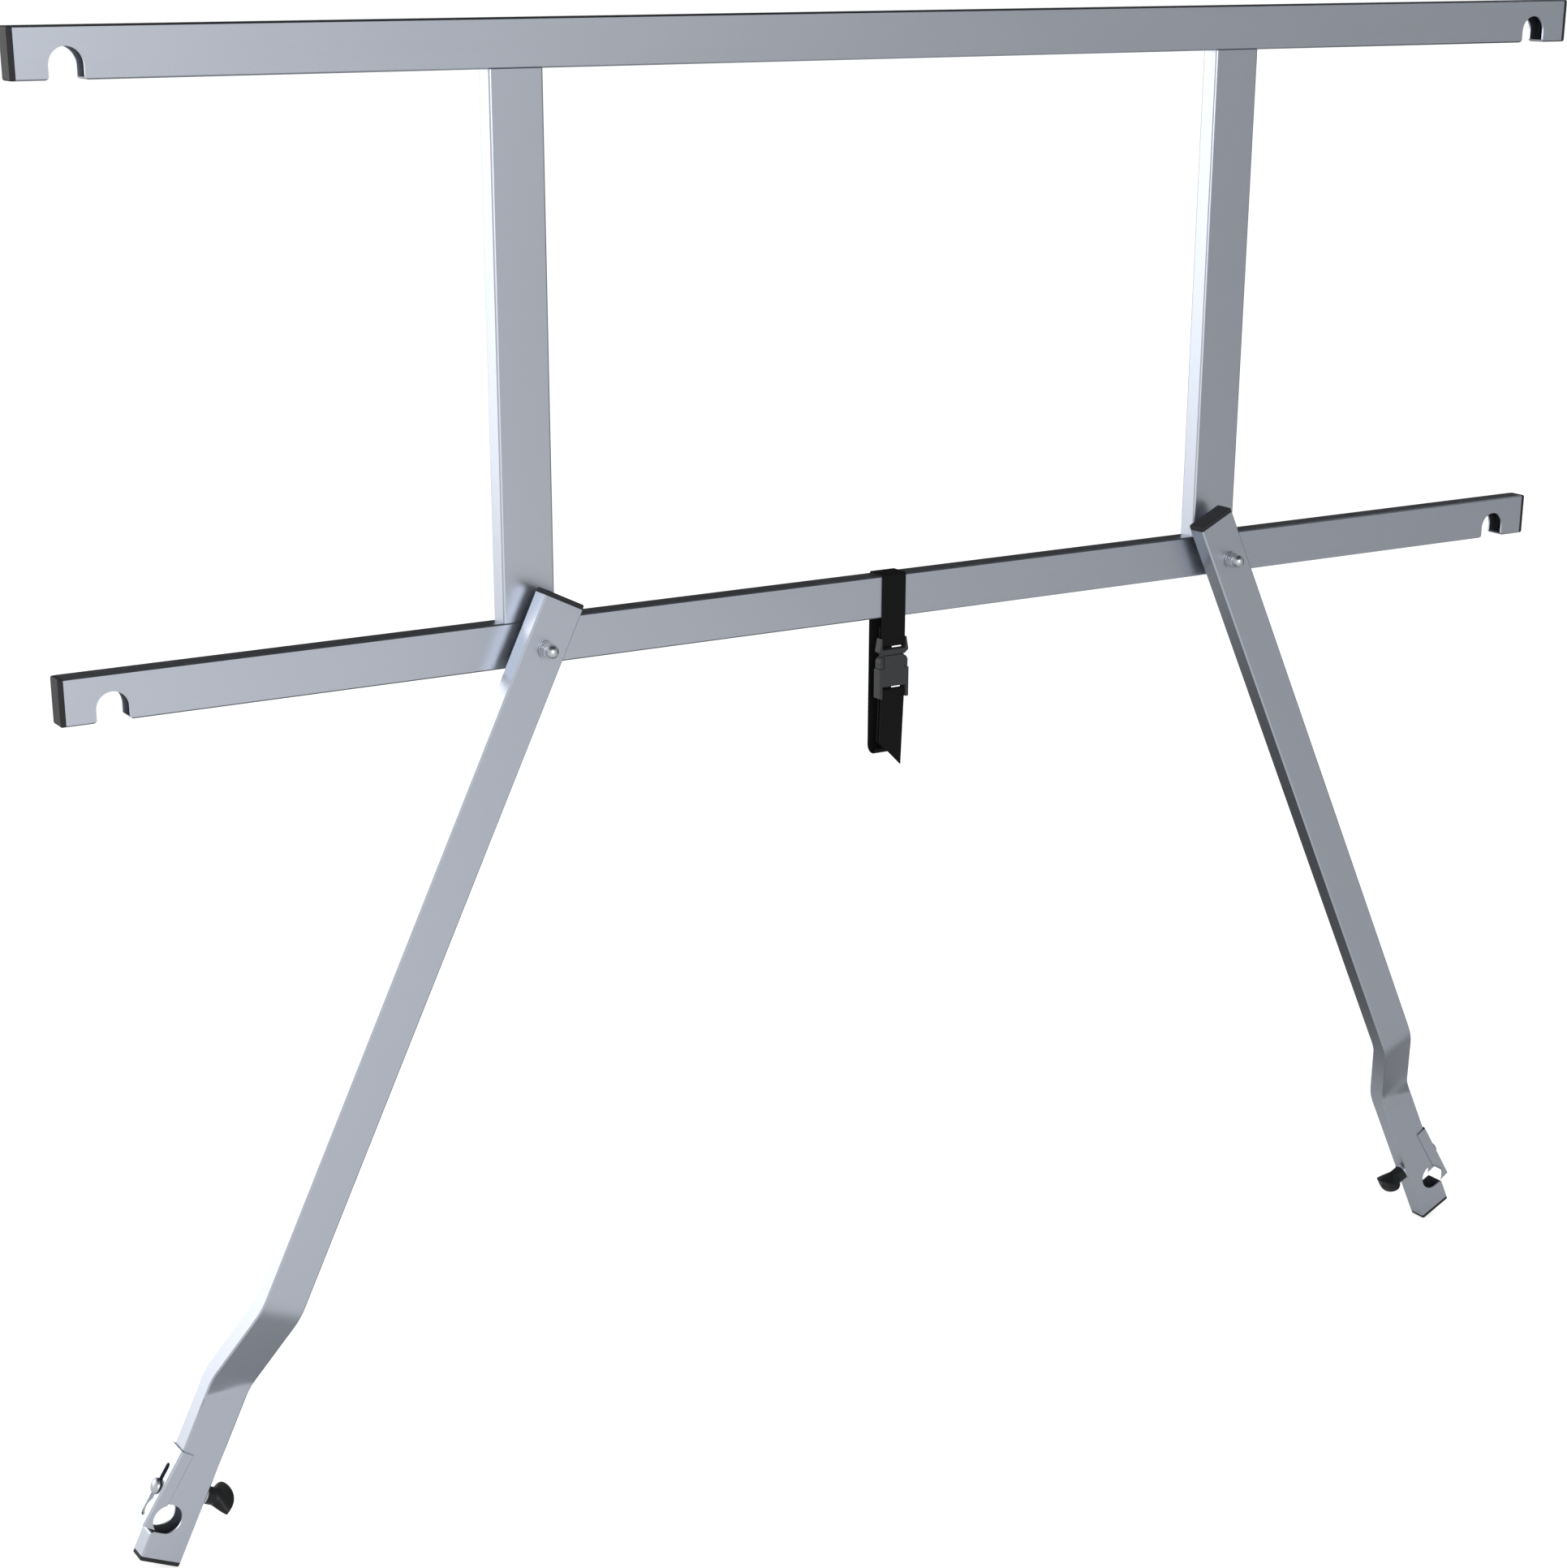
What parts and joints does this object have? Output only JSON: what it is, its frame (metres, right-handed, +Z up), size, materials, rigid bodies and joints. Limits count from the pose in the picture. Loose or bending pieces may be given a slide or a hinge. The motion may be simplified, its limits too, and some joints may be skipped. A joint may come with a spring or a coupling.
{
  "type": "folding guard rail frame",
  "caption": "Guard rail frame of two rails and two uprights with hook notches, folding splayed legs with sliding latches, and a buckled strap.",
  "frame": {"origin": "midway between the seats of the top rail's two notches, in the rails' middle plane", "axes": "+X along the rails to the right, +Y to the back, +Z up"},
  "size_m": [1.609, 0.0861, 1.3309],
  "materials": {
    "frame_tube": "satin anodised",
    "leg_tube": "satin anodised",
    "latch_sheet": "satin anodised sheet",
    "zinc": "zinc plated",
    "spacer": "moulded nylon",
    "plug": "moulded plastic",
    "knob": "moulded plastic",
    "buckle": "moulded plastic",
    "webbing": "woven webbing"
  },
  "bodies": {
    "frame": {"top_rail": "frame_tube", "bottom_rail": "frame_tube", "strap": "webbing", "buckle_male": "buckle", "buckle_female": "buckle", "left_upright": "frame_tube", "left_top_rail_plug": "plug", "left_bottom_rail_plug": "plug", "left_pivot_bolt": "zinc", "left_pivot_spacer": "spacer", "left_front_washer": "zinc", "left_cap_nut": "zinc", "right_upright": "frame_tube", "right_top_rail_plug": "plug", "right_bottom_rail_plug": "plug", "right_pivot_bolt": "zinc", "right_pivot_spacer": "spacer", "right_front_washer": "zinc", "right_cap_nut": "zinc"},
    "left_leg": {"left_leg_tube": "leg_tube", "left_leg_plug": "plug", "left_foot_plug": "plug", "left_knob_washer": "zinc"},
    "left_latch": {"left_latch": "latch_sheet"},
    "left_clamp": {"left_clamp_bolt": "zinc"},
    "left_knob": {"left_knob": "knob"},
    "right_leg": {"right_leg_tube": "leg_tube", "right_leg_plug": "plug", "right_foot_plug": "plug", "right_knob_washer": "zinc"},
    "right_latch": {"right_latch": "latch_sheet"},
    "right_clamp": {"right_clamp_bolt": "zinc"},
    "right_knob": {"right_knob": "knob"}
  },
  "joints": [
    {"name": "left_leg_fold", "type": "hinge", "parent": "frame", "child": "left_leg", "pos_m": [-0.38, -0.0295, -0.49075], "axis": [0.0173, -0.9998, 0.006], "range_deg": [0, 90]},
    {"name": "left_latch_slide", "type": "slide", "parent": "left_leg", "child": "left_latch", "axis": [0.4384, 0, 0.8988], "range_m": [0, 0.024]},
    {"name": "left_clamp_loosen", "type": "slide", "parent": "left_leg", "child": "left_clamp", "axis": [-0.8988, 0, 0.4384], "range_m": [0, 0.0031]},
    {"name": "left_knob_turn", "type": "hinge", "parent": "left_leg", "child": "left_knob", "pos_m": [-0.72189, 0.0099, -1.24111], "axis": [-0.8988, 0, 0.4384], "continuous": true},
    {"name": "right_leg_fold", "type": "hinge", "parent": "frame", "child": "right_leg", "pos_m": [0.38, -0.0295, -0.49075], "axis": [-0.0173, 0.9998, 0.006], "range_deg": [0, 90]},
    {"name": "right_latch_slide", "type": "slide", "parent": "right_leg", "child": "right_latch", "axis": [-0.4384, 0, 0.8988], "range_m": [0, 0.024]},
    {"name": "right_clamp_loosen", "type": "slide", "parent": "right_leg", "child": "right_clamp", "axis": [0.8988, 0, 0.4384], "range_m": [0, 0.0031]},
    {"name": "right_knob_turn", "type": "hinge", "parent": "right_leg", "child": "right_knob", "pos_m": [0.72189, 0.0099, -1.24111], "axis": [0.8988, 0, 0.4384], "continuous": true}
  ],
  "couplings": [
    {"joint": "left_clamp_loosen", "follows": "left_latch_slide", "ratio": 0.12279},
    {"joint": "right_clamp_loosen", "follows": "right_latch_slide", "ratio": 0.12279}
  ]
}
